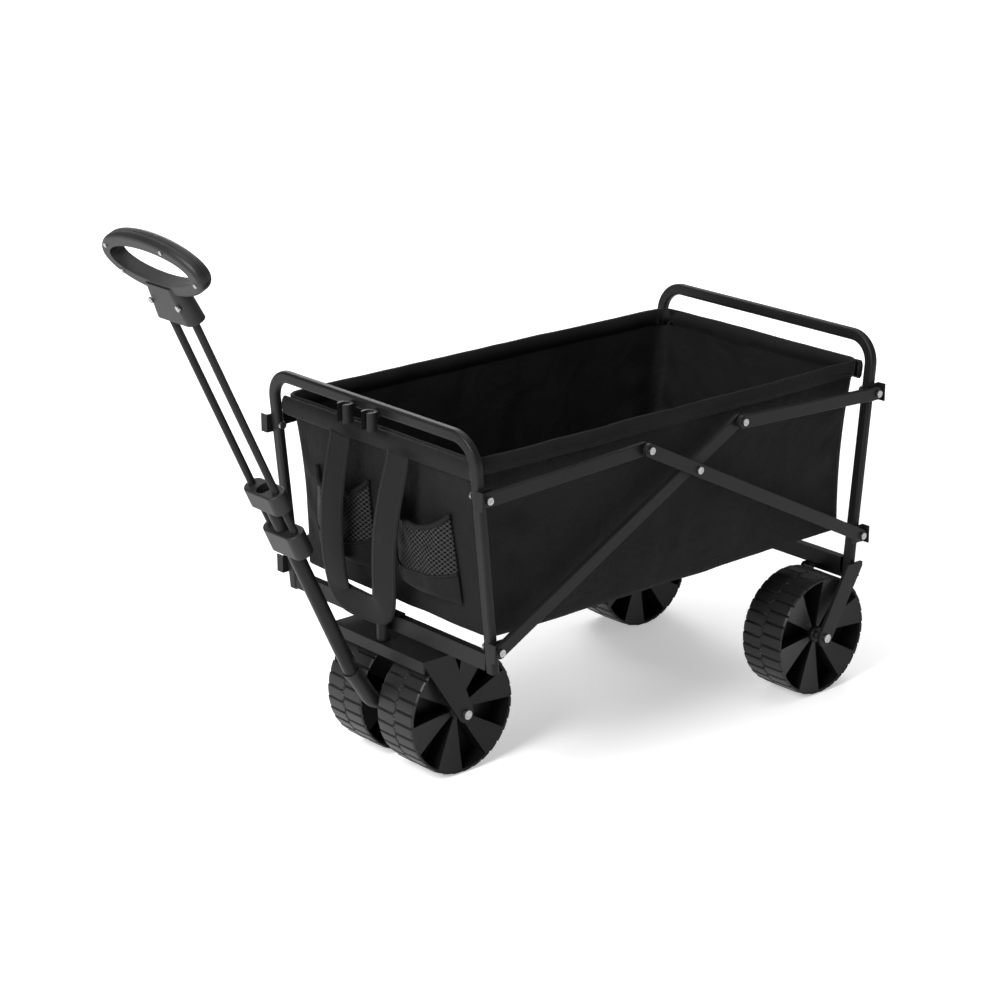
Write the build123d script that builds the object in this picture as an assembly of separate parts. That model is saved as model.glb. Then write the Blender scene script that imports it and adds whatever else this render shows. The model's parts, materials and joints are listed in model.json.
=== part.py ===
"""A folding camp wagon: two hoop frames joined by crossed bars, a fabric tub, four wide wheels
and a steered telescopic handle.  Millimetres, +Z up, the handle end towards -X."""
import os
from math import atan2, cos, degrees, radians, sin, sqrt

from build123d import *

os.makedirs("parts", exist_ok=True)

# ---- driving dimensions, measured from the middle of the wheelbase on the floor ----
ORIGIN_X = 201.6          # from the middle of the box round everything to the middle of the tub
HALF_TRACK = 250          # middle of a leg, out from the centre plane
TUBE_WIDE = 20
TUBE_THICK = 14
TUBE_WALL = 1.5
HOOP_BEND = 45
LOWER_X, LOWER_Z = 409, 274      # lower pivot of a leg
UPPER_X, UPPER_Z = 433, 522      # upper pivot of a leg
RAIL_Z = 611
KNEE_X, KNEE_Z = 110, 536        # where a short link meets a diagonal
PIN_R = 4
HEAD_R = 6                       # domed heads of the bar bolts
AXLE_HEAD_R = 7.5
RUNNING = 0.05
BAR_WIDE = 22
BAR_THICK = 9
BAR_WALL = 1.5
BAR_Y = 269                      # plane of the folding bars on the legs
BAR_LEAN = 11.5                  # how far a diagonal leans in or out at its knee

WHEEL_R = 105.7
WHEEL_W = 88
AXLE_R = 6
FRONT_AXLE_X = -347
REAR_AXLE_X = 331
FRONT_WHEEL_Y = 65
REAR_WHEEL_Y = 216.5
SPOKES = 6

KINGPIN_X = -419.5
KINGPIN_R = 6
YOKE_Z = 213
YOKE_HALF = 118

HANDLE_LEAN = 25.1               # from the vertical
HANDLE_AHEAD = 93.5              # straight part's distance in front of the axle
ROD_Y = 30
ROD_R = 6
POST_R = 12.5

TUB_TOP = 575
TUB_FLOOR = 284
TUB_HALF = 235
CLOTH = 2.5

LEAN = degrees(atan2(UPPER_X - LOWER_X, UPPER_Z - LOWER_Z))


def leg_x(z):
    """How far a leg's middle is from the wagon's middle at a height."""
    return LOWER_X + (z - LOWER_Z) * (UPPER_X - LOWER_X) / (UPPER_Z - LOWER_Z)


def cylinder(start, end, radius):
    """A round bar between two points."""
    a, b = Vector(*start), Vector(*end)
    return extrude(Plane(origin=a, z_dir=b - a) * Circle(radius), (b - a).length)


def box(x0, x1, y0, y1, z0, z1):
    return Pos((x0 + x1) / 2, (y0 + y1) / 2, (z0 + z1) / 2) * Box(abs(x1 - x0), abs(y1 - y0), z1 - z0)


def save(shape, name):
    """Write one piece, moved from the wagon's middle to the origin of the whole object."""
    export_step(Pos(ORIGIN_X, 0, 0) * shape, f"parts/{name}.step")


def both_sides(shape, name):
    """A piece on the near side (-Y) and its mirror on the far side."""
    save(shape, name + "_near")
    save(mirror(shape, Plane.XZ), name + "_far")


# ---- hoops and crossbars ----
def hoop(end, foot_z):
    """One bent tube: a leg, the top rail and the other leg, leaning outward at the top."""
    plane = Plane(
        origin=(end * leg_x(foot_z), 0, foot_z),
        x_dir=(0, 1, 0),
        z_dir=(end * cos(radians(LEAN)), 0, -sin(radians(LEAN))),
    )
    rise = (RAIL_Z - foot_z) / cos(radians(LEAN)) * (1 if plane.y_dir.Z > 0 else -1)
    path = FilletPolyline(
        (-HALF_TRACK, 0), (-HALF_TRACK, rise), (HALF_TRACK, rise), (HALF_TRACK, 0), radius=HOOP_BEND
    )
    path = plane * path
    foot = Plane(origin=path @ 0, x_dir=(0, 1, 0), z_dir=path % 0)
    outer = sweep(foot * RectangleRounded(TUBE_WIDE, TUBE_THICK, 5), path)
    bore = foot * RectangleRounded(TUBE_WIDE - 2 * TUBE_WALL, TUBE_THICK - 2 * TUBE_WALL, 3.5)
    tube = outer - sweep(bore, path)
    for z in (LOWER_Z, UPPER_Z):
        tube -= cylinder((end * leg_x(z), -300, z), (end * leg_x(z), 300, z), PIN_R)
    return tube


def crossbar(x, low, high):
    """A square tube between the legs of one hoop."""
    half = HALF_TRACK - TUBE_WIDE / 2 - 0.2
    bar = box(x - 7, x + 7, -half, half, low, high)
    bar -= box(x - 5.5, x + 5.5, -half - 1, half + 1, low + 1.5, high - 1.5)
    return bar


def leg_brackets(end):
    """The channel plates that carry the bars on the near leg: a foot on the leg, a back wall behind."""
    plates = []
    for z in (LOWER_Z, UPPER_Z):
        x = end * leg_x(z)
        seat = box(x - 15, x + 15, -263.6, -260.2, z - 15, z + 15)
        back = box(x + end * 15, x + end * 12.5, -276, -260.2, z - 15, z + 15)
        seat += back
        seat -= cylinder((x, -300, z), (x, -200, z), PIN_R)
        plates.append(seat)
    return Compound(children=plates)


def leg_bolts(end):
    """Pivot bolts through the near leg, with a domed head outside the bar."""
    bolts = []
    for z in (LOWER_Z, UPPER_Z):
        x = end * leg_x(z)
        bolt = cylinder((x, -238, z), (x, -275, z), PIN_R)
        bolt += cylinder((x, -274.2, z), (x, -278, z), HEAD_R)
        bolt += cylinder((x, -239.5, z), (x, -235.6, z), 6.5)
        bolts.append(bolt)
    return Compound(children=bolts)


save(hoop(-1, 233), "front_hoop")
save(hoop(1, 203.5), "rear_hoop")
save(crossbar(-405, 235, 262), "front_crossbar")
save(crossbar(401, 202.5, 230), "rear_crossbar")
both_sides(leg_brackets(-1), "front_bracket")
both_sides(leg_brackets(1), "rear_bracket")
both_sides(leg_bolts(-1), "front_bolts")
both_sides(leg_bolts(1), "rear_bolts")


# ---- crossed bars ----
def bar_between(start, end, holes):
    """A flat hollow bar with round ends between two points that may differ in Y, and its cross holes."""
    a, b = Vector(*start), Vector(*end)
    run = sqrt((b.X - a.X) ** 2 + (b.Z - a.Z) ** 2)
    tilt = degrees(atan2(b.Z - a.Z, b.X - a.X))
    side = degrees(atan2(b.Y - a.Y, run))
    length = (b - a).length
    blank = SlotCenterToCenter(length, BAR_WIDE)
    bar = extrude(Plane.XZ * Pos(length / 2, 0) * blank, BAR_THICK / 2, both=True)
    bar = fillet(bar.edges().filter_by(Plane.XZ), 1.5)
    stops = [0] + sorted((Vector(x, 0, z) - Vector(a.X, 0, a.Z)).length for x, z, _ in holes) + [length]
    for low, high in zip(stops, stops[1:]):
        if high - low > 2 * BAR_WIDE:
            bore = Pos((low + high) / 2, 0) * Rectangle(high - low - BAR_WIDE, BAR_WIDE - 2 * BAR_WALL)
            bar -= extrude(Plane.XZ * bore, BAR_THICK / 2 - BAR_WALL, both=True)
    bar = Pos(*start) * Rot(0, -tilt, 0) * Rot(0, 0, side) * bar
    for x, z, radius in holes:
        bar -= cylinder((x, -330, z), (x, -200, z), radius)
    return bar


CROSS_Z = LOWER_Z + (KNEE_Z - LOWER_Z) * LOWER_X / (LOWER_X + KNEE_X)
RUNNING_HOLE = PIN_R + RUNNING
CROSS_SHARE = LOWER_X / (LOWER_X + KNEE_X)
CROSS_Y_IN = BAR_Y - BAR_LEAN * CROSS_SHARE
CROSS_Y_OUT = BAR_Y + BAR_LEAN * CROSS_SHARE


def knee_stud(x, z, plane_y):
    """A short domed bolt in the end of a bar."""
    outside = plane_y + BAR_THICK / 2
    stud = cylinder((x, -(outside - BAR_THICK), z), (x, -(outside + 0.5), z), PIN_R)
    return stud + cylinder((x, -(outside + 0.1), z), (x, -(outside + 3.6), z), HEAD_R)


# the inner diagonal runs from the front leg to the rear knee,
# and the outer one from the rear leg to the front knee
inner = bar_between(
    (-LOWER_X, -BAR_Y, LOWER_Z),
    (KNEE_X, -(BAR_Y - BAR_LEAN), KNEE_Z),
    [(-LOWER_X, LOWER_Z, RUNNING_HOLE), (0, CROSS_Z, RUNNING_HOLE)],
)
outer = bar_between(
    (LOWER_X, -BAR_Y, LOWER_Z),
    (-KNEE_X, -(BAR_Y + BAR_LEAN), KNEE_Z),
    [(LOWER_X, LOWER_Z, RUNNING_HOLE), (0, CROSS_Z, PIN_R), (-KNEE_X, KNEE_Z, PIN_R)],
)
front_link = bar_between(
    (-UPPER_X, -BAR_Y, UPPER_Z),
    (-KNEE_X, -BAR_Y, KNEE_Z),
    [(-UPPER_X, UPPER_Z, RUNNING_HOLE)],
)
rear_link = bar_between(
    (UPPER_X, -BAR_Y, UPPER_Z),
    (KNEE_X, -BAR_Y, KNEE_Z),
    [(UPPER_X, UPPER_Z, RUNNING_HOLE), (KNEE_X, KNEE_Z, PIN_R)],
)
cross_bolt = cylinder((0, -(CROSS_Y_IN - 5), CROSS_Z), (0, -(CROSS_Y_OUT + 5.4), CROSS_Z), PIN_R)
cross_bolt += cylinder((0, -(CROSS_Y_OUT + 4.9), CROSS_Z), (0, -(CROSS_Y_OUT + 8.2), CROSS_Z), HEAD_R)
cross_bolt += cylinder((0, -(CROSS_Y_IN - 4.9), CROSS_Z), (0, -(CROSS_Y_IN - 8), CROSS_Z), 7)
cross_bolt += cylinder((0, -(CROSS_Y_IN + 5), CROSS_Z), (0, -(CROSS_Y_OUT - 5), CROSS_Z), 9)
both_sides(inner, "inner_diagonal")
both_sides(outer, "outer_diagonal")
both_sides(front_link, "front_link")
both_sides(rear_link, "rear_link")
both_sides(cross_bolt, "cross_bolt")
both_sides(knee_stud(-KNEE_X, KNEE_Z, BAR_Y + BAR_LEAN), "front_knee_bolt")
both_sides(knee_stud(KNEE_X, KNEE_Z, BAR_Y), "rear_knee_bolt")


# ---- wheels ----
def tyre():
    """A wide ring with three grooves round its tread."""
    section = Plane.XZ * Pos(99.2, 0) * RectangleRounded(13, WHEEL_W, 4)
    ring = revolve(section, Axis.Z)
    for across in (-WHEEL_W / 4, 0, WHEEL_W / 4):
        ring -= Pos(0, 0, across) * (Cylinder(WHEEL_R + 1, 3) - Cylinder(WHEEL_R - 2.5, 5))
    return ring


def wheel_core():
    """Rim, hub barrel, mid web and wedge spokes, on the Z axis."""
    rim = Cylinder(92.6, 80) - Cylinder(86, 82)
    barrel = Cylinder(19, WHEEL_W - 2)
    web = Cylinder(87, 8)
    wedge = make_face(Polyline((10, 0), (88, -23.5), (88, 23.5), (10, 0)))
    spokes = [Rot(0, 0, k * 360 / SPOKES) * extrude(wedge, 36, both=True) for k in range(SPOKES)]
    core = rim + barrel + web + spokes
    return core - Cylinder(AXLE_R + RUNNING, WHEEL_W + 20)


def wheel(shape, x, y):
    return Pos(x, y, WHEEL_R) * Rot(90, 0, 0) * shape


one_tyre, one_core = tyre(), wheel_core()
for name, x, y in (
    ("front_wheel_near", FRONT_AXLE_X, -FRONT_WHEEL_Y),
    ("front_wheel_far", FRONT_AXLE_X, FRONT_WHEEL_Y),
    ("rear_wheel_near", REAR_AXLE_X, -REAR_WHEEL_Y),
    ("rear_wheel_far", REAR_AXLE_X, REAR_WHEEL_Y),
):
    save(wheel(one_tyre, x, y), name + "_tyre")
    save(wheel(one_core, x, y), name + "_core")


# ---- rear forks ----
def fork_arm(y0, y1, top_x, top_z, axle_x, top_wide, end_r):
    """A plate tapering from a wide top down to a round end on the axle."""
    outline = make_hull(
        (Pos(axle_x, WHEEL_R) * Circle(end_r)).edges()
        + (Pos(top_x, top_z) * Rectangle(top_wide, 8)).edges()
    )
    arm = extrude(Plane.XZ.offset(-y1) * outline, y1 - y0)
    return arm


def rear_fork():
    """Outer and inner plates joined above the wheel, under the near end of the crossbar."""
    outer_arm = fork_arm(-270, -264, 399, 221, REAR_AXLE_X, 36, 16)
    inner_arm = fork_arm(-166, -160, 401, 198.2, REAR_AXLE_X, 30, 16)
    roof = box(391, 416, -264, -166, 196.5, 202.2)
    fork = outer_arm + inner_arm + roof
    fork -= cylinder((REAR_AXLE_X, -300, WHEEL_R), (REAR_AXLE_X, -100, WHEEL_R), AXLE_R)
    fork -= box(393.8, 408.2, -240.5, -150, 202.2, 240)
    return fork - box(390, 412, -262, -238, 202.2, 240)


def rear_axle():
    """A bolt with its head outside and a nut inside."""
    bolt = cylinder((REAR_AXLE_X, -270, WHEEL_R), (REAR_AXLE_X, -152, WHEEL_R), AXLE_R)
    bolt += cylinder((REAR_AXLE_X, -270, WHEEL_R), (REAR_AXLE_X, -274.5, WHEEL_R), AXLE_HEAD_R)
    nut = Plane.XZ.offset(160) * RegularPolygon(10, 6)
    return bolt + Pos(REAR_AXLE_X, 0, WHEEL_R) * extrude(nut, -7)


both_sides(rear_fork(), "rear_fork")
both_sides(rear_axle(), "rear_axle")


# ---- front yoke, steered about the kingpin ----
def yoke():
    """A plate over the twin wheels with a front lip and two slanting arms."""
    plate = box(-431, -371, -YOKE_HALF, YOKE_HALF, YOKE_Z, YOKE_Z + 3.5)
    plate += box(-434.5, -431, -YOKE_HALF, YOKE_HALF, 197, YOKE_Z + 3.5)
    for side in (-1, 1):
        y0, y1 = sorted((side * (YOKE_HALF - 4.5), side * YOKE_HALF))
        plate += fork_arm(y0, y1, -402, YOKE_Z - 0.5, FRONT_AXLE_X, 58, 15)
    plate -= cylinder((FRONT_AXLE_X, -200, WHEEL_R), (FRONT_AXLE_X, 200, WHEEL_R), AXLE_R)
    return plate - cylinder((KINGPIN_X, 0, 190), (KINGPIN_X, 0, 230), KINGPIN_R)


def front_axle():
    bolt = cylinder((FRONT_AXLE_X, -120, WHEEL_R), (FRONT_AXLE_X, 120, WHEEL_R), AXLE_R)
    for side in (-1, 1):
        end = (FRONT_AXLE_X, side * 123.5, WHEEL_R)
        bolt += cylinder((FRONT_AXLE_X, side * 118, WHEEL_R), end, AXLE_HEAD_R)
    return bolt


def kingpin():
    pin = cylinder((KINGPIN_X, 0, 207), (KINGPIN_X, 0, 270), KINGPIN_R)
    pin += cylinder((KINGPIN_X, 0, 208), (KINGPIN_X, 0, YOKE_Z), 10)
    return pin


def kingpin_housing():
    """The round post on the front crossbar that the kingpin turns in."""
    post = cylinder((KINGPIN_X, 0, 218.5), (KINGPIN_X, 0, 274), 11)
    post += box(-410, -398, -30, 30, 262.2, 265.2)
    post += box(-416, -406, -11, 11, 262.2, 268)
    post -= box(-412.2, -397, -40, 40, 230, 262.2)
    return post - cylinder((KINGPIN_X, 0, 200), (KINGPIN_X, 0, 271), KINGPIN_R + RUNNING)


save(yoke(), "yoke")
save(front_axle(), "front_axle")
save(kingpin(), "kingpin")
save(kingpin_housing(), "kingpin_housing")


# ---- handle: an elbowed post, sliding twin rods and a ring grip ----
ALONG = Vector(-sin(radians(HANDLE_LEAN)), 0, cos(radians(HANDLE_LEAN)))
AHEAD = Vector(-cos(radians(HANDLE_LEAN)), 0, -sin(radians(HANDLE_LEAN)))
AXLE = Vector(FRONT_AXLE_X, 0, WHEEL_R)
FOOT_ALONG = 123.3        # from the axle to where the straight part begins


def on_handle(along, ahead=0.0, y=0.0):
    """A point on the handle: along its straight part, in front of its middle, and across."""
    return AXLE + AHEAD * (HANDLE_AHEAD + ahead) + ALONG * (FOOT_ALONG + along) + Vector(0, y, 0)


def handle_plane(along, ahead=0.0, y=0.0):
    """A plane square across the handle, X across the wagon."""
    return Plane(origin=on_handle(along, ahead, y), x_dir=(0, 1, 0), z_dir=ALONG)


def post():
    """The elbow on the axle and the straight lower tube, in one bent tube."""
    corner = AXLE + AHEAD * 82 + ALONG * 52
    path = FilletPolyline(AXLE + (corner - AXLE) * 0.1, corner, on_handle(10), radius=24)
    tube = sweep(Plane(origin=path @ 0, z_dir=path % 0) * Circle(POST_R), path)
    tube += cylinder(on_handle(8), on_handle(370), POST_R)
    tube += cylinder((AXLE.X, -17, AXLE.Z), (AXLE.X, 17, AXLE.Z), 15)
    tube -= cylinder(on_handle(20), on_handle(371), POST_R - 1.5)
    return tube - cylinder((AXLE.X, -40, AXLE.Z), (AXLE.X, 40, AXLE.Z), AXLE_R + RUNNING)


def collar(start, end, sliding_holes, fixed_holes):
    """A moulded block with rounded sides across the tubes."""
    plane = handle_plane(start)
    block = extrude(plane * SlotOverall(86, 34), end - start)
    block = fillet(block.edges(), 3)
    for y, radius in sliding_holes + fixed_holes:
        block -= cylinder(on_handle(start - 5, y=y), on_handle(end + 5, y=y), radius)
    return block


def rod(side):
    return cylinder(on_handle(254, y=side * ROD_Y), on_handle(724, y=side * ROD_Y), ROD_R)


def grip_block():
    """The tapered block that holds the rods, under the ring."""
    block = loft([handle_plane(698) * SlotOverall(100, 32), handle_plane(760) * SlotOverall(78, 30)])
    for side in (-1, 1):
        block -= cylinder(
            on_handle(690, y=side * ROD_Y), on_handle(724, y=side * ROD_Y), ROD_R
        )
    return block


def grip_ring():
    """The oval hand ring, in the plane of the handle."""
    middle = Plane(origin=on_handle(793), x_dir=(0, 1, 0), z_dir=AHEAD)
    ring = extrude(middle * Ellipse(123, 49), 12.5, both=True)
    ring -= extrude(middle * Ellipse(99, 29), 20, both=True)
    ring = fillet(ring.edges().filter_by(GeomType.ELLIPSE), 8)
    ring -= extrude(middle * (Ellipse(124, 50) - Ellipse(122.4, 48.4)), 0.4, both=True)
    seat_foot = handle_plane(698) * SlotOverall(100.4, 32.4)
    seat_top = handle_plane(760.1) * SlotOverall(78.4, 30.4)
    return ring - loft([seat_foot, seat_top])


def grip_bolts():
    """Domed bolts through the grip block and screws round the ring."""
    heads = []
    for y in (34, -34):
        heads.append(cylinder(on_handle(730, 15.6, y), on_handle(730, 18.2, y), 5))
    for turn in (25, 118, 195, 320):
        y, along = 111 * cos(radians(turn)), 793 + 39 * sin(radians(turn))
        heads.append(cylinder(on_handle(along, 12.6, y), on_handle(along, 14, y), 3.6))
    return Compound(children=heads)


save(post(), "handle_post")
lower_post_hole = [(0, POST_R + RUNNING)]
rods = [(-ROD_Y, ROD_R), (ROD_Y, ROD_R)]
rods_running = [(-ROD_Y, ROD_R + RUNNING), (ROD_Y, ROD_R + RUNNING)]
save(collar(343, 378, rods_running, [(0, POST_R)]), "post_collar")
save(collar(256, 300, lower_post_hole, rods), "rod_collar")
save(Compound(children=[rod(-1), rod(1)]), "handle_rods")
save(grip_block(), "grip_block")
save(grip_ring(), "grip_ring")
save(grip_bolts(), "grip_bolts")


# ---- clips for the handle rods, on the front rail ----
def clip(y):
    """An open C that a handle rod snaps into."""
    x, z = -leg_x(597), 597
    middle = x - 24
    ring = cylinder((middle, y, 582), (middle, y, 612), 12.5)
    ring -= cylinder((middle, y, 580), (middle, y, 615), 7.5)
    ring -= box(x - 40, x - 27, y - 6.5, y + 6.5, 580, 615)
    return ring + box(x - 16.2, x - 8.6, y - 8, y + 8, 600, 610)


save(Compound(children=[clip(-ROD_Y), clip(ROD_Y)]), "rod_clips")


# ---- fabric tub, mat, pockets and strap ----
def tub_outline(shrink, z):
    """The tub's rectangle at a height, following the lean of the hoops."""
    half_x = leg_x(z) - TUBE_THICK / 2 - 4 - shrink
    half_y = TUB_HALF - shrink
    return Pos(0, 0, z) * RectangleRounded(2 * half_x, 2 * half_y, 18 - shrink)


def tub():
    outside = loft([tub_outline(0, TUB_FLOOR - 4), tub_outline(0, TUB_TOP)])
    inside = loft([tub_outline(CLOTH, TUB_FLOOR - 4 + CLOTH), tub_outline(CLOTH, TUB_TOP + 0.1)])
    return outside - inside


def pocket(side):
    """A bellied pouch, open at the top, on the front panel."""
    low, high, out, half = 320, 478, 34, 78
    x_low, x_high = -(leg_x(low) - 11), -(leg_x(high) - 11)
    middle = side * 104
    corners = [
        (x_low - 0.4, low),
        (x_low - out * 0.8, low + 12),
        (x_high - out, high),
        (x_high - 0.4, high),
    ]
    profile = make_face(Polyline(*corners, close=True))
    pouch = extrude(Plane.XZ.offset(-(middle + half)) * profile, 2 * half)
    hollow = offset(profile, -CLOTH).moved(Pos(0, 6))
    mouth = extrude(Plane.XZ.offset(-(middle + half - CLOTH)) * hollow, 2 * (half - CLOTH))
    return pouch - offset(pouch, -CLOTH) - mouth


def strap():
    """One webbing loop, sewn on below the rail, hanging in front of the pockets' inner edges."""
    path = FilletPolyline((-76, 548), (-100, 292), (-20, 284), (76, 548), radius=30)
    flat = trace(path, 50)
    plane = Plane(
        origin=(-leg_x(0) - 46.6, 0, 0),
        x_dir=(0, -1, 0),
        z_dir=(-cos(radians(LEAN)), 0, -sin(radians(LEAN))),
    )
    return extrude(plane * flat, CLOTH)


save(tub(), "tub")
save(box(-388, 388, -218, 218, TUB_FLOOR, TUB_FLOOR + 6), "floor_mat")
both_sides(pocket(-1), "pocket")
save(strap(), "strap")
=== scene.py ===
import json
from math import cos, exp, pi, radians, sin

import bmesh
import bpy
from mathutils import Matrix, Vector, noise


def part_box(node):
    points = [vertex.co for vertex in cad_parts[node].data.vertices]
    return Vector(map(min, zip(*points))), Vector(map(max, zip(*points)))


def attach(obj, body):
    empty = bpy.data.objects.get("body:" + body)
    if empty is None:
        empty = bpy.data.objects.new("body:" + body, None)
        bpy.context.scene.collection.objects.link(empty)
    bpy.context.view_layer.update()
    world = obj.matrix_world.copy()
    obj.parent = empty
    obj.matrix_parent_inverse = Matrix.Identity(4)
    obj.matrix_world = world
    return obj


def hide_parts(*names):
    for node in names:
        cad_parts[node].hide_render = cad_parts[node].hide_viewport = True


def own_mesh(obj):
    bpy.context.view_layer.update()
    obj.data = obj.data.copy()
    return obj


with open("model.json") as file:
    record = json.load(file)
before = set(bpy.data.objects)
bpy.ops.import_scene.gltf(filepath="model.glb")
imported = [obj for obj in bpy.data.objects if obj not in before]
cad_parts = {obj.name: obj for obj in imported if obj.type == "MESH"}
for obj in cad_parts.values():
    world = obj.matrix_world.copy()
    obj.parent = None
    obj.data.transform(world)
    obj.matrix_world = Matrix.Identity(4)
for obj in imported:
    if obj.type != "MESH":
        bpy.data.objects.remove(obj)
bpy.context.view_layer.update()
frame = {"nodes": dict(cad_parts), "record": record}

# ---- places that everything is measured from ----
FRONT_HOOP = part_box("front_hoop")
REAR_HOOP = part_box("rear_hoop")
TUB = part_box("tub")
MID_X = (FRONT_HOOP[0][0] + REAR_HOOP[1][0]) / 2

# the two bolts on each leg, by their distance from the middle of the wagon and their height
LOW_BOLT_X, LOW_BOLT_Z = 0.409, 0.274
HIGH_BOLT_X, HIGH_BOLT_Z = 0.433, 0.522
LEAN = (HIGH_BOLT_X - LOW_BOLT_X) / (HIGH_BOLT_Z - LOW_BOLT_Z)   # outward per metre of height


def leg_x(z):
    """A leg's middle, from the middle of the wagon, at a height."""
    return LOW_BOLT_X + (z - LOW_BOLT_Z) * LEAN


# ---- materials ----
def material(name, colour, rough, metal=0.0, shine=0.5):
    """A principled material, with its node tree ready for detail."""
    mat = bpy.data.materials.new(name)
    mat.use_nodes = True
    shader = mat.node_tree.nodes["Principled BSDF"]
    shader.inputs["Base Color"].default_value = (*colour, 1)
    shader.inputs["Roughness"].default_value = rough
    shader.inputs["Metallic"].default_value = metal
    shader.inputs["Specular IOR Level"].default_value = shine
    return mat, mat.node_tree, shader


def node(tree, kind, **inputs):
    """A new node with some of its inputs set; an underscore in a name stands for a space."""
    made = tree.nodes.new(kind)
    for key, value in inputs.items():
        made.inputs[key.replace("_", " ")].default_value = value
    return made


def place_in_object(tree):
    """The place of a point in its object, for a texture's vector."""
    return tree.nodes.new("ShaderNodeTexCoord").outputs["Object"]


def ramp(tree, source, low, high, low_colour, high_colour):
    """A colour that goes from one to another as the source goes from low to high."""
    made = tree.nodes.new("ShaderNodeValToRGB")
    made.color_ramp.elements[0].position = low
    made.color_ramp.elements[0].color = (*low_colour, 1)
    made.color_ramp.elements[1].position = high
    made.color_ramp.elements[1].color = (*high_colour, 1)
    tree.links.new(source, made.inputs["Fac"])
    return made.outputs["Color"]


def grey(value):
    """A grey with a slight blue cast."""
    return (value, value, value * 1.04)


def bump(tree, shader, height, strength, distance, below=None):
    """Raise the surface by a height, on top of the bump below if there is one."""
    made = tree.nodes.new("ShaderNodeBump")
    made.inputs["Strength"].default_value = strength
    made.inputs["Distance"].default_value = distance
    tree.links.new(height, made.inputs["Height"])
    if below:
        tree.links.new(below.outputs["Normal"], made.inputs["Normal"])
    tree.links.new(made.outputs["Normal"], shader.inputs["Normal"])
    return made


def vary(tree, shader, where, scale, dark, light, rough_low, rough_high):
    """Slow variation of colour and roughness over a surface."""
    spots = node(tree, "ShaderNodeTexNoise", Scale=scale, Detail=6.0, Roughness=0.6)
    tree.links.new(where, spots.inputs["Vector"])
    shade = ramp(tree, spots.outputs["Fac"], 0.3, 0.7, grey(dark), grey(light))
    tree.links.new(shade, shader.inputs["Base Color"])
    rough = tree.nodes.new("ShaderNodeMapRange")
    rough.inputs["To Min"].default_value = rough_low
    rough.inputs["To Max"].default_value = rough_high
    tree.links.new(spots.outputs["Fac"], rough.inputs["Value"])
    tree.links.new(rough.outputs["Result"], shader.inputs["Roughness"])
    return spots


def powder_coat():
    """Satin black powder coat: a fine orange-peel surface."""
    mat, tree, shader = material("powder_coat", grey(0.008), 0.42, shine=0.16)
    where = place_in_object(tree)
    vary(tree, shader, where, 14.0, 0.0062, 0.0100, 0.34, 0.48)
    peel = node(tree, "ShaderNodeTexNoise", Scale=900.0, Detail=2.0)
    tree.links.new(where, peel.inputs["Vector"])
    bump(tree, shader, peel.outputs["Fac"], 0.25, 0.0003)
    return mat


def moulded(name, dark, light, rough_low, rough_high, grain=1500.0, depth=0.00025, shine=0.4):
    """Moulded plastic with a fine spark-eroded grain."""
    mat, tree, shader = material(name, grey(dark), rough_low, shine=shine)
    where = place_in_object(tree)
    vary(tree, shader, where, 9.0, dark, light, rough_low, rough_high)
    pits = node(tree, "ShaderNodeTexVoronoi", Scale=grain)
    tree.links.new(where, pits.inputs["Vector"])
    bump(tree, shader, pits.outputs["Distance"], 0.3, depth)
    return mat


def steel():
    """Zinc-plated bolt steel with faint turning marks."""
    mat, tree, shader = material("bolt_steel", grey(0.6), 0.3, 1.0)
    where = place_in_object(tree)
    marks = node(tree, "ShaderNodeTexNoise", Scale=400.0, Detail=3.0)
    tree.links.new(where, marks.inputs["Vector"])
    shade = ramp(tree, marks.outputs["Fac"], 0.35, 0.65, grey(0.26), grey(0.46))
    tree.links.new(shade, shader.inputs["Base Color"])
    bump(tree, shader, marks.outputs["Fac"], 0.2, 0.0002)
    return mat


def weave_height(tree, where, pitch):
    """A weave: waves along all three axes, multiplied, so two of them cross on any wall."""
    total = None
    for direction in ("X", "Y", "Z"):
        wave = node(tree, "ShaderNodeTexWave", Scale=0.5 / pitch)
        wave.bands_direction = direction
        tree.links.new(where, wave.inputs["Vector"])
        if total is None:
            total = wave.outputs["Fac"]
            continue
        product = tree.nodes.new("ShaderNodeMath")
        product.operation = "MULTIPLY"
        tree.links.new(total, product.inputs[0])
        tree.links.new(wave.outputs["Fac"], product.inputs[1])
        total = product.outputs["Value"]
    return total


def cloth(name, dark, light, rough_low, rough_high, creases, pitch=0.0011):
    """Woven polyester: weave, soft creases and a little sheen."""
    mat, tree, shader = material(name, grey(dark), 0.8, shine=0.12)
    shader.inputs["Sheen Weight"].default_value = 0.02
    shader.inputs["Sheen Roughness"].default_value = 0.45
    where = place_in_object(tree)
    vary(tree, shader, where, 7.0, dark, light, rough_low, rough_high)
    soft = node(tree, "ShaderNodeTexNoise", Scale=11.0, Detail=5.0, Roughness=0.55, Distortion=0.6)
    tree.links.new(where, soft.inputs["Vector"])
    creased = bump(tree, shader, soft.outputs["Fac"], creases, 0.012)
    bump(tree, shader, weave_height(tree, where, pitch), 0.35, 0.0004, creased)
    return mat


NET_PITCH = 0.0055   # from one opening of the net to the next


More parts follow.
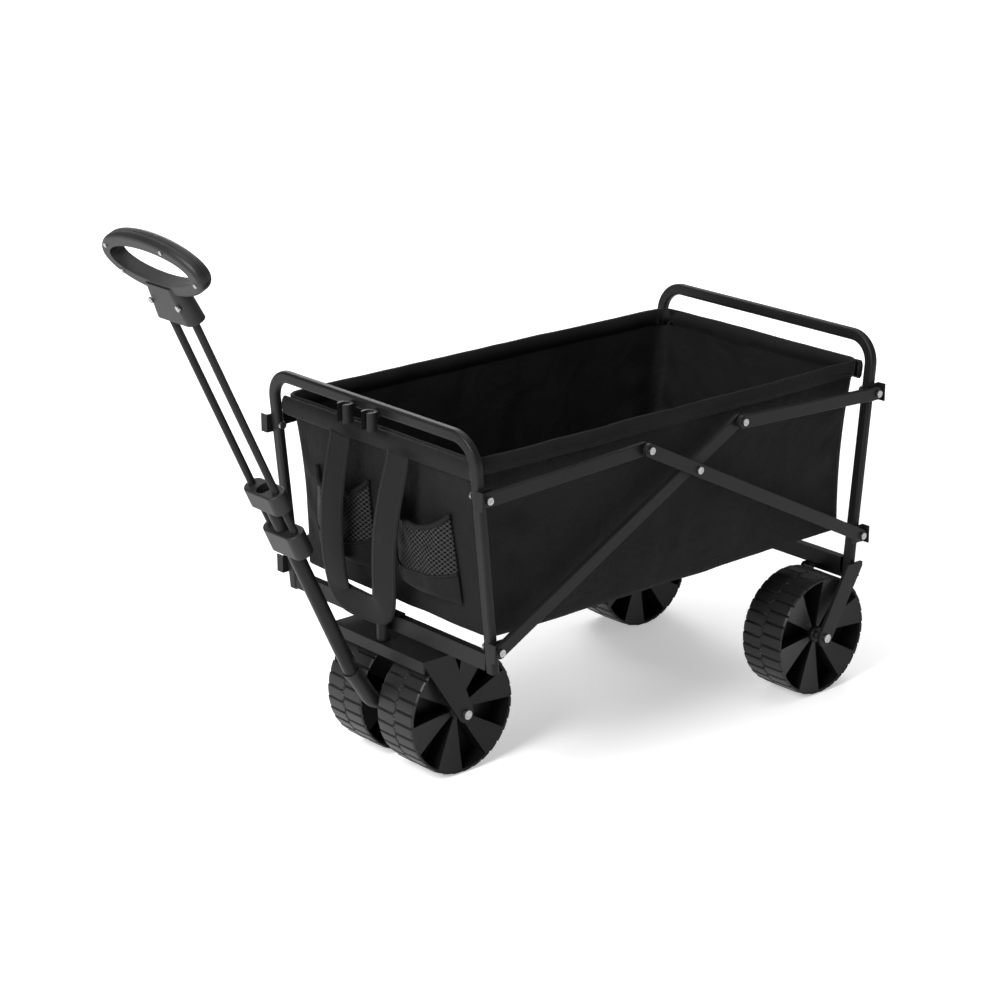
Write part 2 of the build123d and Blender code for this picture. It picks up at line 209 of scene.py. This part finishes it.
def net():
    """Open knitted netting: round openings in a diagonal grid, with painted glints on the knots: the
    threads' base colour is lighter away from the openings.
    """
    mat, tree, shader = material("pocket_net", grey(0.008), 0.6, shine=0.3)
    turn = node(tree, "ShaderNodeMapping", Rotation=(radians(45), 0, 0), Scale=(0.0, 1.0, 1.0))
    tree.links.new(place_in_object(tree), turn.inputs["Vector"])
    cells = node(tree, "ShaderNodeTexVoronoi", Scale=1 / NET_PITCH, Randomness=0.0)
    tree.links.new(turn.outputs["Vector"], cells.inputs["Vector"])
    holes = ramp(tree, cells.outputs["Distance"], 0.26, 0.32, (0, 0, 0), (1, 1, 1))
    tree.links.new(holes, shader.inputs["Alpha"])
    # painted highlight: the threads' base colour gets lighter away from the openings, standing in for
    # glints of light on the knots
    painted_knot_glints = ramp(tree, cells.outputs["Distance"], 0.45, 0.68, grey(0.004), grey(0.03))
    tree.links.new(painted_knot_glints, shader.inputs["Base Color"])
    bump(tree, shader, cells.outputs["Distance"], 0.5, 0.0008)
    return mat


POWDER = powder_coat()
STEEL = steel()
PLASTIC = moulded("moulded_plastic", 0.0080, 0.0130, 0.36, 0.50, shine=0.24)
TREAD = moulded("tread_plastic", 0.0090, 0.0145, 0.34, 0.48, 700.0, 0.0004, shine=0.25)
WHEEL = moulded("wheel_plastic", 0.0045, 0.0080, 0.26, 0.40, 1200.0, 0.0002, shine=0.18)
CANVAS = cloth("canvas", 0.0045, 0.0078, 0.60, 0.78, creases=0.6)
WEBBING = cloth("webbing", 0.0055, 0.0095, 0.60, 0.75, creases=0.05, pitch=0.0022)
HEM = cloth("hem_canvas", 0.0055, 0.0095, 0.60, 0.75, creases=0.25)
POCKET_CLOTH = cloth("pocket_canvas", 0.0048, 0.0085, 0.62, 0.78, creases=0.5)
NET = net()
THREAD = moulded("thread", 0.016, 0.028, 0.6, 0.7, 2500.0, 0.0002)

SLOT_LOOK = {
    "powder_coat": POWDER,
    "steel_bolt": STEEL,
    "tread_rubber": TREAD,
    "wheel_plastic": WHEEL,
    "moulded_plastic": PLASTIC,
    "canvas": CANVAS,
    "webbing": WEBBING,
    "pocket_cloth": POCKET_CLOTH,
}
for part in frame["record"]["subparts"]:
    shown = frame["nodes"][part["node"]]
    shown.data.materials.clear()
    shown.data.materials.append(SLOT_LOOK[part["material_slot"]])


# ---- mesh helpers ----
def mesh_object(name, points, faces, look, smooth=True):
    """A new object in the scene, from its points, its faces and its material."""
    mesh = bpy.data.meshes.new(name)
    mesh.from_pydata([tuple(p) for p in points], [], faces)
    mesh.validate()
    made = bpy.data.objects.new(name, mesh)
    bpy.context.scene.collection.objects.link(made)
    mesh.materials.append(look)
    if smooth:
        mesh.polygons.foreach_set("use_smooth", [True] * len(mesh.polygons))
    mesh.update()
    return made


def grid_faces(rows, columns, wrap=False):
    """Quads of a grid of points stored row by row, closed into a tube if it wraps."""
    faces = []
    for r in range(rows - 1):
        for c in range(columns if wrap else columns - 1):
            d = (c + 1) % columns
            faces.append((r * columns + c, r * columns + d, (r + 1) * columns + d, (r + 1) * columns + c))
    return faces


def loop_faces(rings, count):
    """Quads between closed rings of points, the last ring joined to the first."""
    faces = []
    for k in range(rings):
        m = (k + 1) % rings
        for i in range(count):
            j = (i + 1) % count
            faces.append((k * count + i, k * count + j, m * count + j, m * count + i))
    return faces


def slab_faces(rows, columns):
    """Faces of a closed slab: a grid of points, the same grid again on its other side, and the edge."""
    count = rows * columns
    upper = grid_faces(rows, columns)
    faces = upper + [tuple(count + i for i in face[::-1]) for face in upper]
    border = list(range(columns))
    border += [r * columns + columns - 1 for r in range(1, rows)]
    border += [(rows - 1) * columns + c for c in range(columns - 2, -1, -1)]
    border += [r * columns for r in range(rows - 2, 0, -1)]
    for i, a in enumerate(border):
        b = border[(i + 1) % len(border)]
        faces.append((b, a, count + a, count + b))
    return faces


def modify(obj, kind, **settings):
    """Add a modifier of a kind to obj, with its settings."""
    made = obj.modifiers.new(kind.lower(), kind)
    for key, value in settings.items():
        setattr(made, key, value)
    return made


def applied(obj):
    """obj with its modifiers made part of its mesh."""
    bpy.context.view_layer.update()
    graph = bpy.context.evaluated_depsgraph_get()
    mesh = bpy.data.meshes.new_from_object(obj.evaluated_get(graph))
    obj.modifiers.clear()
    obj.data = mesh
    return obj


def noise_at(x, y, z, scale):
    """Smooth noise between about -1 and 1; a larger scale makes smaller waves."""
    return noise.noise(Vector((x * scale, y * scale, z * scale)))


def dip(distance, width):
    """1 in the middle of a groove, falling smoothly to 0 beyond its width."""
    return exp(-(distance / width) ** 2)


def tube_along(name, points, radius, look, sides=12, closed=False):
    """A round tube through a list of points."""
    rings = []
    count = len(points)
    up = Vector((0, 0, 1))
    for i, p in enumerate(points):
        if closed:
            ahead = points[(i + 1) % count] - points[i - 1]
        else:
            ahead = points[min(i + 1, count - 1)] - points[max(i - 1, 0)]
        ahead.normalize()
        side = ahead.cross(up)
        if side.length < 1e-3:
            side = Vector((1, 0, 0))
        side.normalize()
        over = side.cross(ahead)
        for k in range(sides):
            a = 2 * pi * k / sides
            rings.append(p + (side * cos(a) + over * sin(a)) * radius)
    faces = grid_faces(count, sides, wrap=True)
    if closed:
        last = (count - 1) * sides
        faces += [(last + k, last + (k + 1) % sides, (k + 1) % sides, k) for k in range(sides)]
    else:
        faces += [tuple(range(sides))[::-1], tuple(range((count - 1) * sides, count * sides))]
    return mesh_object(name, rings, faces, look)


# ---- the tub: one cloth shell hung from the hoops ----
TUB_TOP = TUB[1][2]
TUB_LOW = TUB[0][2] + 0.003
HALF_Y = (TUB[1][1] - TUB[0][1]) / 2
CORNER_R = 0.022
HEM_STEP = 0.006     # between points round the hem
ON_WALL = 0.985      # beyond this share of the half size a point is on a flat wall


def wall_x(z):
    """An end wall's cloth, from the middle of the wagon, at a height."""
    return leg_x(z) - 0.012


def rounded_rectangle(half_x, half_y, radius, step):
    """Points round a rectangle with rounded corners, about a step apart."""
    points = []
    for cx, cy, start in ((1, 1, 0), (-1, 1, 90), (-1, -1, 180), (1, -1, 270)):
        for k in range(7):
            a = radians(start + k * 15)
            x = cx * (half_x - radius) + radius * cos(a)
            y = cy * (half_y - radius) + radius * sin(a)
            points.append(Vector((x, y, 0)))
    full = []
    for i, p in enumerate(points):
        q = points[(i + 1) % len(points)]
        pieces = max(1, round((q - p).length / step))
        full += [p.lerp(q, k / pieces) for k in range(pieces)]
    return full


def tub_point(p, z, depth):
    """Hang the cloth: walls belly, corners pull in between their ends, and creases run from them."""
    x, y = p.x, p.y
    share_x = abs(x) / wall_x(z)
    share_y = abs(y) / HALF_Y
    corner = max(0.0, share_x + share_y - 1.72) / 0.28
    middle_height = sin(pi * depth)
    pull = 0.007 * middle_height * min(1.0, corner) ** 1.6
    in_x = -x / (abs(x) + 1e-6)
    in_y = -y / (abs(y) + 1e-6)
    wave = 0.0042 * noise_at(x, y, z, 8) + 0.0022 * noise_at(x + 3, y, z * 0.5, 24)
    droop = 0.0016 * sin(x * 34 + z * 11) * middle_height
    crease = 0.003 * dip(corner - 0.45, 0.2) * sin(z * 85 + x * 30) * middle_height
    off = wave + droop + crease
    if share_y > ON_WALL:
        y -= in_y * off
    if share_x > ON_WALL:
        x -= in_x * (off * 0.8)
    return Vector((MID_X + x + in_x * pull, y + in_y * pull * 0.9, z))


def tub_shell():
    """Walls from the top hem to the floor seam, then the floor, as one skin."""
    rows = 44
    points = []
    base = rounded_rectangle(wall_x(TUB_LOW), HALF_Y, CORNER_R, 0.007)
    count = len(base)
    for r in range(rows):
        depth = r / (rows - 1)
        z = TUB_TOP + (TUB_LOW - TUB_TOP) * depth
        wide = wall_x(z) / wall_x(TUB_LOW)
        for p in base:
            points.append(tub_point(Vector((p.x * wide, p.y, 0)), z, depth))
    faces = grid_faces(rows, count, wrap=True)
    rings = 24
    for k in range(1, rings):
        share = 1 - k / rings
        for p in base:
            points.append(Vector((MID_X + p.x * share, p.y * share, TUB_LOW)))
    for k in range(rings - 1):
        upper = (rows - 1 + k) * count
        for c in range(count):
            d = (c + 1) % count
            faces.append((upper + c, upper + d, upper + count + d, upper + count + c))
    last = (rows - 1 + rings - 1) * count
    points.append(Vector((MID_X, 0, TUB_LOW)))
    faces += [(last + c, last + (c + 1) % count, len(points) - 1) for c in range(count)]
    shell = mesh_object("canvas_tub", points, faces, CANVAS)
    modify(shell, "SOLIDIFY", thickness=0.0016, offset=0)
    return applied(shell)


def ring_at(z, out):
    """Points round the tub at a height, moved outward."""
    base = rounded_rectangle(wall_x(z), HALF_Y, CORNER_R, HEM_STEP)
    depth = (TUB_TOP - z) / (TUB_TOP - TUB_LOW)
    result = []
    for i, p in enumerate(base):
        q = tub_point(p, z, depth)
        ahead = base[(i + 1) % len(base)] - base[i - 1]
        outward = Vector((ahead.y, -ahead.x, 0)).normalized()
        result.append(q + outward * out)
    return result


def top_hem():
    """The folded band sewn round the mouth of the tub."""
    profile = (
        (-0.0022, -0.026),
        (-0.0035, -0.012),
        (-0.0030, 0.0),
        (0.0, 0.0022),
        (0.0030, 0.0),
        (0.0036, -0.012),
        (0.0024, -0.026),
    )
    rings = [ring_at(TUB_TOP - 0.001 + dz, out + 0.0006 * sin(dz * 900)) for out, dz in profile]
    count = len(rings[0])
    points = [p for ring in rings for p in ring]
    faces = grid_faces(len(rings), count, wrap=True)
    last = (len(rings) - 1) * count
    faces += [(last + c, last + (c + 1) % count, (c + 1) % count, c) for c in range(count)]
    return mesh_object("tub_hem", points, faces, HEM)


def stitches(name, line, look, length=0.0032, gap=0.0018, radius=0.00045):
    """A row of thread stitches along a line of points, as small round-ended tubes."""
    mesh_points, faces = [], []
    travelled, next_at = 0.0, 0.0
    for a, b in zip(line, line[1:]):
        run = (b - a).length
        if run < 1e-7:
            continue
        ahead = (b - a) / run
        side = ahead.cross(Vector((0, 0, 1)))
        side = side.normalized() if side.length > 1e-3 else Vector((1, 0, 0))
        over = side.cross(ahead)
        while next_at <= travelled + run:
            start = a + ahead * (next_at - travelled)
            base = len(mesh_points)
            for along, wide in ((0, 0.5), (0.2, 1), (0.8, 1), (1, 0.5)):
                for k in range(5):
                    turn = 2 * pi * k / 5
                    spread = side * cos(turn) + over * sin(turn)
                    mesh_points.append(start + ahead * along * length + spread * radius * wide)
            for ring in range(base, base + 15, 5):
                for k in range(5):
                    n = (k + 1) % 5
                    faces.append((ring + k, ring + n, ring + 5 + n, ring + 5 + k))
            faces.append(tuple(base + k for k in range(5))[::-1])
            faces.append(tuple(base + 15 + k for k in range(5)))
            next_at += length + gap
        travelled += run
    return mesh_object(name, mesh_points, faces, look)


def folds(obj):
    """Put this cloth piece on the front frame's body, with a mesh of its own."""
    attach(obj, "front_frame")
    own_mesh(obj)
    return obj


shell = tub_shell()
hem = top_hem()
hem_thread = stitches("hem_stitches", ring_at(TUB_TOP - 0.021, 0.0032), THREAD)
for piece in (shell, hem, hem_thread):
    folds(piece)
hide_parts("tub")


# ---- floor mat: a stiffened pad with sewn fold lines ----
def floor_mat():
    """A low pad with a soft edge and three sewn lines across it."""
    low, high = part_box("floor_mat")
    half_x, half_y = (high[0] - low[0]) / 2, (high[1] - low[1]) / 2
    columns, rows = 150, 84
    points = []
    for r in range(rows):
        for c in range(columns):
            x = -half_x + 2 * half_x * c / (columns - 1)
            y = -half_y + 2 * half_y * r / (rows - 1)
            edge = min(half_x - abs(x), half_y - abs(y))
            crown = 1 - exp(-edge / 0.006)
            seam = 1 - 0.6 * dip(abs(x) - half_x / 2, 0.004) - 0.6 * dip(x, 0.004)
            lift = (high[2] - low[2]) * crown * max(0.2, seam) + 0.0008 * noise_at(x, y, 0, 12)
            points.append(Vector((MID_X + x, y, low[2] + 0.0005 + max(0.0006, lift))))
    points += [Vector((p.x, p.y, low[2] + 0.0002)) for p in points]
    return mesh_object("floor_pad", points, slab_faces(rows, columns), POCKET_CLOTH)


mat_piece = floor_mat()
folds(mat_piece)
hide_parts("floor_mat")


def without_loose_points(obj):
    """Take out the points that belong to no face."""
    made = bmesh.new()
    made.from_mesh(obj.data)
    bmesh.ops.delete(made, geom=[v for v in made.verts if not v.link_faces], context="VERTS")
    made.to_mesh(obj.data)
    made.free()


def pocket(side):
    """A pouch: a solid cloth band below, netting above, gathered under an elastic scooped edge."""
    tag = "far" if side > 0 else "near"
    low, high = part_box("pocket_far")
    half = (high[1] - low[1]) / 2 - 0.004
    centre = side * (high[1] + low[1]) / 2
    bottom, top, scoop = low[2] + 0.002, high[2] - 0.002, 0.032
    columns, rows = 72, 46
    band_rows = 16
    points = []
    for r in range(rows):
        v = r / (rows - 1)
        for c in range(columns):
            u = -1 + 2 * c / (columns - 1)
            edge_top = top - scoop * (1 - u * u) ** 0.8 - 0.007 * (1 + u * side) / 2
            z = bottom + (edge_top - bottom) * v
            bulge = 0.031 * (1 - abs(u) ** 2.6) * min(1.0, (v / 0.16)) ** 0.6 * (1 - 0.25 * v)
            gather = 0.0009 * sin(u * 34 + 1.2 * sin(v * 9)) * v ** 10
            crumple = 0.0045 * noise_at(u * 2 + side, v * 2.5, 0.3, 1.5)
            out = 0.0025 + bulge + (gather + crumple) * (1 - u ** 4)
            wide = u * half * (1 - 0.09 * v ** 1.5) - side * half * 0.07 * v ** 1.5
            points.append(Vector((MID_X - (leg_x(z) - 0.011) - out, centre + wide, z)))
    faces = grid_faces(rows, columns)
    lower = [f for i, f in enumerate(faces) if i // (columns - 1) < band_rows]
    upper = [f for i, f in enumerate(faces) if i // (columns - 1) >= band_rows]
    band = mesh_object(f"pocket_band_{tag}", points, lower, POCKET_CLOTH)
    netting = mesh_object(f"pocket_net_{tag}", points, upper, NET)
    without_loose_points(band)
    without_loose_points(netting)
    modify(band, "SOLIDIFY", thickness=0.0014, offset=1)
    modify(netting, "SOLIDIFY", thickness=0.0008, offset=0)
    rim = tube_along(f"pocket_elastic_{tag}", points[-columns:], 0.0042, HEM, 10)
    seam_row = points[band_rows * columns:(band_rows + 1) * columns]
    seam_line = [p - Vector((0.0012, 0, 0)) for p in seam_row]
    seam = tube_along(f"pocket_seam_{tag}", seam_line, 0.0020, HEM, 8)
    return applied(band), applied(netting), rim, seam


for side, name in ((1, "pocket_far"), (-1, "pocket_near")):
    made = pocket(side)
    for piece in made:
        folds(piece)
    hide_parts(name)


# ---- carry strap: one webbing loop hanging down the front panel ----
STRAP_WIDE, STRAP_LONG, STRAP_THICK = 0.051, 0.78, 0.0022


def strap_line():
    """The loop's middle line: across the panel, and how far in front of the hoop's plane."""
    route = (
        (0.064, 0.552, 0.010), (0.066, 0.530, 0.014), (0.070, 0.470, 0.032),
        (0.076, 0.400, 0.038), (0.083, 0.340, 0.036), (0.089, 0.300, 0.028),
        (0.092, 0.276, 0.022), (0.070, 0.268, 0.020), (0.035, 0.269, 0.020),
        (0.000, 0.271, 0.025), (-0.028, 0.280, 0.029), (-0.040, 0.315, 0.033),
        (-0.048, 0.360, 0.036), (-0.060, 0.430, 0.036), (-0.074, 0.510, 0.020),
        (-0.078, 0.535, 0.013), (-0.079, 0.552, 0.010),
    )
    curve = bpy.data.curves.new("strap_route", "CURVE")
    curve.dimensions = "3D"
    spline = curve.splines.new("NURBS")
    spline.points.add(len(route) - 1)
    for point, (y, z, out) in zip(spline.points, route):
        point.co = (MID_X - leg_x(z) - 0.002 - out, y, z, 1)
    spline.use_endpoint_u = True
    spline.order_u = 4
    spline.resolution_u = 14
    helper = bpy.data.objects.new("strap_route", curve)
    bpy.context.scene.collection.objects.link(helper)
    bpy.context.view_layer.update()
    mesh = bpy.data.meshes.new_from_object(helper.evaluated_get(bpy.context.evaluated_depsgraph_get()))
    line = [v.co.copy() for v in mesh.vertices]
    bpy.data.objects.remove(helper)
    bpy.data.meshes.remove(mesh)
    return line


def strap():
    """The webbing, slightly cupped and twisted along its line, with a row of stitches at each edge."""
    line = strap_line()
    half, columns = STRAP_WIDE / 2, 11
    points = []
    front = Vector((-1, 0, -LEAN)).normalized()
    for i, p in enumerate(line):
        ahead = (line[min(i + 1, len(line) - 1)] - line[max(i - 1, 0)]).normalized()
        side = ahead.cross(front).normalized()
        over = side.cross(ahead)
        twist = 0.25 * sin(i / len(line) * pi * 2)
        side = (side + over * twist * 0.5).normalized()
        for c in range(columns):
            u = -1 + 2 * c / (columns - 1)
            cup = 0.0012 * (1 - u * u)
            points.append(p + side * u * half + front * cup)
    webbing = mesh_object("carry_strap", points, grid_faces(len(line), columns), WEBBING)
    modify(webbing, "SOLIDIFY", thickness=STRAP_THICK, offset=0)
    applied(webbing)
    edges = []
    for column, tag in ((1, "left"), (columns - 2, "right")):
        rail = [points[i * columns + column] + front * 0.0016 for i in range(len(line))]
        edges.append(stitches(f"strap_stitches_{tag}", rail, THREAD, 0.003, 0.002, 0.0004))
    return webbing, edges


webbing, edge_rows = strap()
for piece in [webbing, *edge_rows]:
    folds(piece)
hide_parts("strap")


# ---- rod sleeves that hang the end panels from the hoops ----
def sleeve(end):
    """A rolled cloth sleeve across one end, with the rod's bulge showing."""
    z = TUB_TOP - 0.0145
    x = MID_X + end * (leg_x(z) - 0.007)
    span = HALF_Y - 0.001
    rings, sides = 90, 20
    points = []
    for i in range(rings):
        y = -span + 2 * span * i / (rings - 1)
        radius = 0.0125 + 0.0008 * noise_at(x, y * 3, z, 14)
        for k in range(sides):
            a = 2 * pi * k / sides
            drop = 0.007 if sin(a) < -0.5 else 0.0
            out = radius * cos(a) * 0.55 - end * drop * 0.1
            points.append(Vector((x + out, y, z + radius * sin(a) - drop)))
    faces = grid_faces(rings, sides, wrap=True)
    faces += [tuple(range(sides)), tuple(range((rings - 1) * sides, rings * sides))[::-1]]
    return mesh_object("front_sleeve" if end < 0 else "rear_sleeve", points, faces, HEM)


front_sleeve = folds(sleeve(-1))
rear_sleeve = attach(sleeve(1), "rear_frame")


# ---- wheels: staggered tread blocks round a dished core with wedge spokes ----
WHEEL_W = 0.088
WHEEL_R = 0.1057
RIM_R = 0.1012
BLOCK_ROWS = 32
GROOVE_DEEP = 0.0024
SHOULDER = 0.004     # the rounded width at each side of the tread
SPOKES = 6
SPOKE_TURN = 0.26    # how far round the first spoke stands
SPOKE_ROOT = 0.009   # where the spokes start, inside the hub
WEB_HALF = 0.005     # half the thickness of the web between the two faces
HUB_R = 0.0125


def revolved(profile, steps):
    """A closed ring from a closed profile of (radius, across) points; across is along Y."""
    points = []
    for k in range(steps):
        a = 2 * pi * k / steps
        points += [Vector((r * cos(a), w, r * sin(a))) for r, w in profile]
    return points, loop_faces(steps, len(profile))


def groove(distance, width, depth):
    """How deep a groove with sloping sides is at a distance from its middle."""
    return depth * max(0.0, min(1.0, (width - abs(distance)) / (0.45 * width)))


def tread():
    """Two staggered rows of blocks with slightly rounded shoulders."""
    around, across = BLOCK_ROWS * 14, 46
    inner = (
        (RIM_R + 0.0006, WHEEL_W / 2 - 0.0006),
        (RIM_R, WHEEL_W / 2 - 0.002),
        (RIM_R, -WHEEL_W / 2 + 0.002),
        (RIM_R + 0.0006, -WHEEL_W / 2 + 0.0006),
    )
    points = []
    pitch = 2 * pi * WHEEL_R / BLOCK_ROWS
    for k in range(around):
        a = 2 * pi * k / around
        for c in range(across):
            w = -WHEEL_W / 2 + WHEEL_W * c / (across - 1)
            column = 0 if w < 0 else 1
            along = ((a * BLOCK_ROWS / (2 * pi) + 0.5 * column + 0.10 * w / WHEEL_W) % 1 - 0.5) * pitch
            from_gap = abs(along) - pitch / 2
            drop = groove(from_gap, 0.0016, GROOVE_DEEP)
            if abs(from_gap) < 0.006 and abs(w) < 0.0014:
                drop = GROOVE_DEEP
            shoulder = max(0.0, abs(w) - (WHEEL_W / 2 - SHOULDER)) / SHOULDER
            r = WHEEL_R - drop - 0.0016 * shoulder ** 2
            crown = 0.0006 * (2 * w / WHEEL_W) ** 2 + 0.0011 * (along / pitch + 0.5)
            points.append(Vector(((r - crown) * cos(a), w, (r - crown) * sin(a))))
        points += [Vector((r * cos(a), w, r * sin(a))) for r, w in inner]
    return points, loop_faces(around, across + len(inner))


def face_height(r):
    """How far the dished face stands from the wheel's middle at a radius."""
    return 0.0285 + 0.0142 * (r / RIM_R) ** 1.4


def spoke(turn, side):
    """One wedge, a closed prism from the hub to the rim."""
    rings, columns = 9, 7
    reach = RIM_R + 0.0002 - SPOKE_ROOT
    radii = [SPOKE_ROOT + reach * k / (rings - 1) for k in range(rings)]
    half = radians(360 / SPOKES / 4)
    points = []
    for on_face in (True, False):
        for r in radii:
            for c in range(columns):
                a = turn + half * (-1 + 2 * c / (columns - 1))
                w = face_height(r) if on_face else WEB_HALF
                points.append(Vector((r * cos(a), side * w, r * sin(a))))
    return points, slab_faces(rings, columns)


def gathered(pieces):
    """Several (points, faces) as one."""
    points, faces = [], []
    for p, f in pieces:
        faces += [tuple(len(points) + i for i in face) for face in f]
        points += p
    return points, faces


def fixed_normals(obj):
    """obj with all its faces turned outward."""
    made = bmesh.new()
    made.from_mesh(obj.data)
    bmesh.ops.recalc_face_normals(made, faces=made.faces)
    made.to_mesh(obj.data)
    made.free()
    return obj


def smooth_by_angle(obj, degrees_limit):
    """Round faces read smooth, and edges stay crisp."""
    mesh = obj.data
    mesh.polygons.foreach_set("use_smooth", [True] * len(mesh.polygons))
    made = bmesh.new()
    made.from_mesh(mesh)
    for edge in made.edges:
        edge.smooth = len(edge.link_faces) == 2 and edge.calc_face_angle(0) < radians(degrees_limit)
    made.to_mesh(mesh)
    made.free()
    return obj


def wheel(name):
    """One wheel on the body of its own name: the tread, and a core of hub, web, spokes and rim."""
    low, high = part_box(name + "_tyre")
    centre = (Vector(low) + Vector(high)) / 2
    tyre = mesh_object(name + "_tread", *tread(), TREAD)
    turns = [2 * pi * k / SPOKES + SPOKE_TURN for k in range(SPOKES)]
    parts = [spoke(turn, side) for turn in turns for side in (-1, 1)]
    web = [(HUB_R, -WEB_HALF), (RIM_R, -WEB_HALF), (RIM_R, WEB_HALF), (HUB_R, WEB_HALF)]
    parts.append(revolved(web, 96))
    half_hub = [(0.0062, 0.0335), (HUB_R, 0.0335), (0.014, 0.031)]
    hub = [(r, -w) for r, w in half_hub] + half_hub[::-1]
    parts.append(revolved(hub, 48))
    rim = [
        (RIM_R - 0.0016, -0.0422),
        (RIM_R, -0.0424),
        (RIM_R, 0.0424),
        (RIM_R - 0.0016, 0.0422),
        (RIM_R - 0.0026, 0.036),
        (RIM_R - 0.0026, -0.036),
    ]
    parts.append(revolved(rim, 128))
    core = mesh_object(name + "_spokes", *gathered(parts), WHEEL)
    for piece in (tyre, core):
        fixed_normals(piece)
        smooth_by_angle(piece, 24)
        piece.location = centre
        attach(piece, name)
    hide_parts(name + "_tyre")
    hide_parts(name + "_core")


for wheel_name in ("front_wheel_near", "front_wheel_far", "rear_wheel_near", "rear_wheel_far"):
    wheel(wheel_name)


# ---- moulded elbow that the foot of the handle post sits in ----
HANDLE_LEAN = radians(25.1)
ELBOW_BEND = 0.016   # from the corner to each end of the bend
AXLE = (Vector(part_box("front_axle")[0]) + Vector(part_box("front_axle")[1])) / 2
ALONG = Vector((-sin(HANDLE_LEAN), 0, cos(HANDLE_LEAN)))
AHEAD = Vector((-cos(HANDLE_LEAN), 0, -sin(HANDLE_LEAN)))


def on_post(ahead, along):
    """A point by its distance ahead of the axle, across the post, and its distance up along the post."""
    return AXLE + AHEAD * ahead + ALONG * along


def elbow():
    """A thicker sleeve round the bend, with a rolled lip where the tube enters it."""
    start, corner, end = on_post(0.026, 0.0165), on_post(0.082, 0.052), on_post(0.0925, 0.128)
    into = (corner - start).normalized()
    out_of = (end - corner).normalized()
    bend_start = corner - into * ELBOW_BEND
    bend_end = corner + out_of * ELBOW_BEND
    line = [start.lerp(bend_start, k / 6) for k in range(7)]
    for k in range(1, 10):
        t = k / 10
        line.append(bend_start.lerp(corner, t).lerp(corner.lerp(bend_end, t), t))
    line += [bend_end.lerp(end, k / 10) for k in range(11)]
    sleeve_tube = tube_along("post_elbow", line, 0.0140, PLASTIC, 28)
    lip_line = [end - out_of * back for back in (0.007, 0.006, 0.001, 0)]
    lip = tube_along("post_elbow_lip", lip_line, 0.0153, PLASTIC, 28)
    for piece in (sleeve_tube, lip):
        smooth_by_angle(fixed_normals(piece), 40)
    return [sleeve_tube, lip]


for piece in elbow():
    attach(piece, "handle_post")


# ---- studio ----
def studio_white():
    """White floor paint, with a glow of its own that grows outward so that it stays white far away."""
    mat, tree, shader = material("studio_white", (0.82, 0.82, 0.82), 0.9)
    shader.inputs["Emission Color"].default_value = (1, 1, 1, 1)
    distance = tree.nodes.new("ShaderNodeVectorMath")
    distance.operation = "LENGTH"
    tree.links.new(place_in_object(tree), distance.inputs[0])
    glow = node(tree, "ShaderNodeMapRange", From_Min=1.6, From_Max=4.5, To_Min=0.40, To_Max=1.0)
    glow.interpolation_type = "SMOOTHSTEP"
    tree.links.new(distance.outputs["Value"], glow.inputs["Value"])
    tree.links.new(glow.outputs["Result"], shader.inputs["Emission Strength"])
    return mat


def studio_floor():
    """A pale floor, wide enough to fill the scene's own camera behind the wagon."""
    corners = [(-9, -9, 0), (9, -9, 0), (9, 9, 0), (-9, 9, 0)]
    mesh_object("studio_floor", corners, [(0, 1, 2, 3)], studio_white(), smooth=False)


def studio_world():
    """A world that is pale grey to the camera and dimmer as a light."""
    world = bpy.data.worlds.new("studio_world")
    bpy.context.scene.world = world
    world.use_nodes = True
    tree = world.node_tree
    glow = tree.nodes["Background"]
    glow.inputs["Color"].default_value = (1, 1, 1, 1)
    glow.inputs["Strength"].default_value = 0.33
    backdrop = tree.nodes.new("ShaderNodeBackground")
    backdrop.inputs["Strength"].default_value = 1.0
    path = tree.nodes.new("ShaderNodeLightPath")
    mix = tree.nodes.new("ShaderNodeMixShader")
    tree.links.new(path.outputs["Is Camera Ray"], mix.inputs["Fac"])
    tree.links.new(glow.outputs["Background"], mix.inputs[1])
    tree.links.new(backdrop.outputs["Background"], mix.inputs[2])
    tree.links.new(mix.outputs["Shader"], tree.nodes["World Output"].inputs["Surface"])


def studio_lights():
    """Three soft lamps turned to a point in the front half of the wagon."""
    middle = Vector((MID_X - 0.15, 0, 0.4))
    for name, place, size, power in (
        ("key", (-3.2, -0.7, 2.5), 1.6, 175),
        ("top", (0.4, 0.4, 3.6), 3.0, 62),
        ("rim", (1.6, 2.8, 2.4), 2.0, 45),
    ):
        lamp = bpy.data.lights.new(name, "AREA")
        lamp.size = size
        lamp.energy = power
        holder = bpy.data.objects.new(name, lamp)
        holder.location = place
        holder.rotation_euler = (Vector(place) - middle).to_track_quat("Z", "Y").to_euler()
        bpy.context.scene.collection.objects.link(holder)


def camera():
    """The scene's camera: where it looks from, how far off, and its lens."""
    azimuth, elevation, distance = radians(-41.02), radians(18.54), 4.0578
    back = Vector((sin(azimuth) * cos(elevation), -cos(azimuth) * cos(elevation), sin(elevation)))
    lens = bpy.data.cameras.new("camera")
    lens.lens = 94.85
    lens.sensor_width = 36
    holder = bpy.data.objects.new("camera", lens)
    aim = Vector((MID_X - 0.3217, -0.1705, 0.4731))
    holder.location = aim + back * distance
    holder.rotation_euler = back.to_track_quat("Z", "Y").to_euler()
    bpy.context.scene.collection.objects.link(holder)
    bpy.context.scene.camera = holder


studio_floor()
studio_world()
studio_lights()
camera()
bpy.context.scene.view_settings.view_transform = "Standard"
